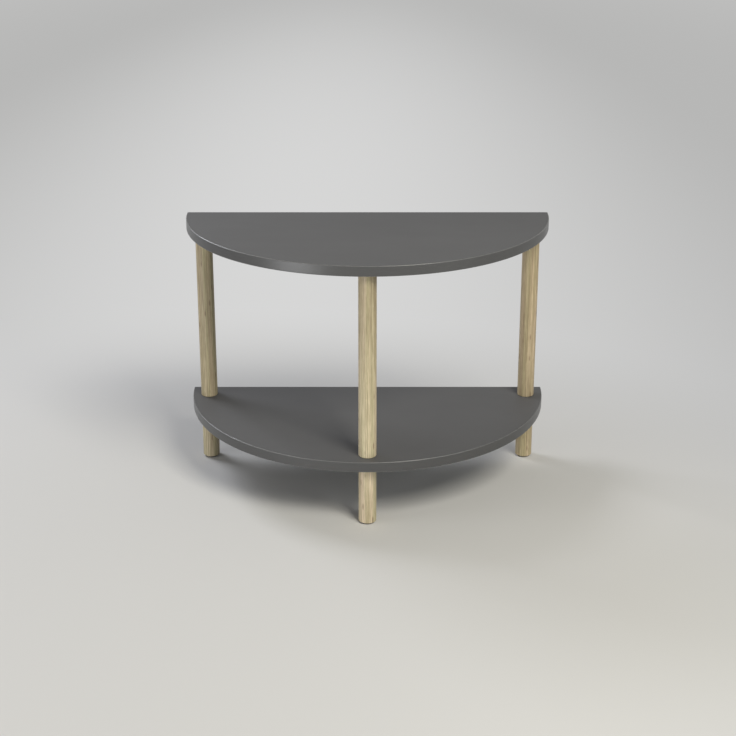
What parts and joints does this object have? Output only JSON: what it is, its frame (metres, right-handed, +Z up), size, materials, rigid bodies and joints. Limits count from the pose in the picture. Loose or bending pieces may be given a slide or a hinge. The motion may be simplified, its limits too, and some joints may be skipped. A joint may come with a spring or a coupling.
{
  "type": "coffee table",
  "caption": "Low half-round table with a matching half-round shelf under its top, on straight round wooden legs; its flat back edge stands against a wall.",
  "frame": {"origin": "on the floor, under the middle of the table's bounding box: half-way between the flat back edge and the front of the curve", "axes": "+X to the right along the flat edge, +Y towards the flat back edge and the wall, +Z up; the curve faces -Y"},
  "size_m": [0.65, 0.325, 0.463],
  "materials": {
    "board_faces": "chipboard faced with plain satin grey melamine",
    "edge_bands": "satin grey edging of the same shade as the faces",
    "leg_wood": "pale straight-grained dowel, clear matt lacquer",
    "fittings": "zinc-plated",
    "foot_pads": "pressed felt"
  },
  "bodies": {
    "root": {"top_board": "board_faces", "top_front_edge_band": "edge_bands", "top_back_edge_band": "edge_bands", "shelf_board": "board_faces", "shelf_front_edge_band": "edge_bands", "shelf_back_edge_band": "edge_bands", "upper_leg_left": "leg_wood", "upper_leg_right": "leg_wood", "upper_leg_front": "leg_wood", "lower_leg_left": "leg_wood", "lower_leg_right": "leg_wood", "lower_leg_front": "leg_wood", "top_nut_left": "fittings", "top_nut_right": "fittings", "top_nut_front": "fittings", "top_hanger_bolt_left": "fittings", "top_hanger_bolt_right": "fittings", "top_hanger_bolt_front": "fittings", "leg_nut_left": "fittings", "leg_nut_right": "fittings", "leg_nut_front": "fittings", "shelf_hanger_bolt_left": "fittings", "shelf_hanger_bolt_right": "fittings", "shelf_hanger_bolt_front": "fittings", "foot_pad_left": "foot_pads", "foot_pad_right": "foot_pads", "foot_pad_front": "foot_pads"}
  },
  "joints": []
}
